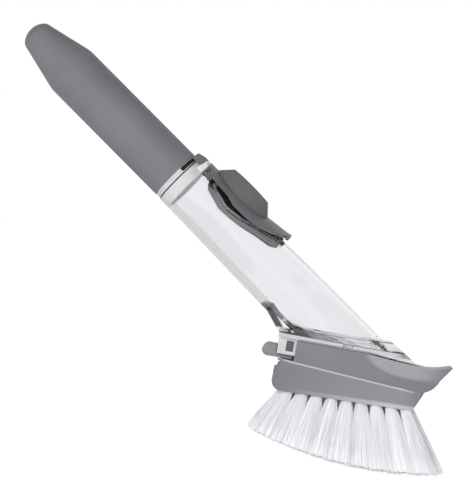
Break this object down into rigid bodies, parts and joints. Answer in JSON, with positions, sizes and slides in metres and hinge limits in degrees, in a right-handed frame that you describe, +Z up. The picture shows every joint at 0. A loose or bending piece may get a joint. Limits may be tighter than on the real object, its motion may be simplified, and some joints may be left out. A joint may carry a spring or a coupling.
{
  "type": "dish wand",
  "caption": "Soap-dispensing dish wand: hollow screw-on handle, clear slanted reservoir tube with a press lever, and a slide-off brush head with a scraper lip.",
  "frame": {"origin": "centre of the grip's straight cylinder, on the wand's axis", "axes": "+X forward along the brush head, +Z up with the bristles down, Y across; the wand's axis lies in the XZ plane and falls 35 degrees from the handle to the head"},
  "size_m": [0.2507, 0.0444, 0.1974],
  "materials": {
    "handle_plastic": "fine matt grey moulding",
    "clear_plastic": "clear polished moulding",
    "lever_plastic": "matt dark grey moulding",
    "head_plastic": "satin grey moulding",
    "soft_rubber": "soft dark elastomer",
    "nylon_bristle": "white nylon filaments",
    "steel_wire": "drawn wire"
  },
  "bodies": {
    "reservoir": {"reservoir_tube": "clear_plastic", "reservoir_base": "clear_plastic", "outlet_valve": "soft_rubber", "valve_ring": "clear_plastic", "diaphragm_frame": "clear_plastic", "pump_diaphragm": "soft_rubber", "lever_pin": "steel_wire"},
    "seal": {"handle_seal": "soft_rubber"},
    "handle": {"handle_grip": "handle_plastic", "handle_collar": "clear_plastic"},
    "lever": {"press_lever": "lever_plastic", "thumb_pad": "lever_plastic"},
    "head": {"head_carrier": "head_plastic", "brush_block": "head_plastic", "tuft_row_1": "nylon_bristle", "tuft_row_2": "nylon_bristle", "tuft_row_3": "nylon_bristle", "tuft_row_4": "nylon_bristle", "tuft_row_5": "nylon_bristle", "tuft_anchors": "steel_wire"},
    "tongue": {"release_tongue": "head_plastic"}
  },
  "joints": [
    {"name": "handle_lift", "type": "slide", "parent": "reservoir", "child": "seal", "axis": [-0.8192, 0, 0.5736], "range_m": [0, 0.01205]},
    {"name": "handle_turn", "type": "hinge", "parent": "seal", "child": "handle", "pos_m": [0, 0, 0], "axis": [-0.8192, 0, 0.5736], "range_deg": [0, 1080]},
    {"name": "lever_press", "type": "hinge", "parent": "reservoir", "child": "lever", "pos_m": [0.04834, 0, -0.01395], "axis": [0, 1, 0], "range_deg": [0, 2.2], "stiffness_Nm_per_rad": 7, "springref_deg": -0.57, "deforming": ["pump_diaphragm"]},
    {"name": "head_slide", "type": "slide", "parent": "reservoir", "child": "head", "axis": [1, 0, 0], "range_m": [0, 0.07], "deforming": ["release_tongue"]},
    {"name": "tab_press", "type": "hinge", "parent": "head", "child": "tongue", "pos_m": [0.12139, 0, -0.10485], "axis": [0, -1, 0], "range_deg": [0, 11], "stiffness_Nm_per_rad": 0.5}
  ],
  "couplings": [
    {"joint": "handle_lift", "follows": "handle_turn", "m_per_rad": 0.00063662}
  ]
}
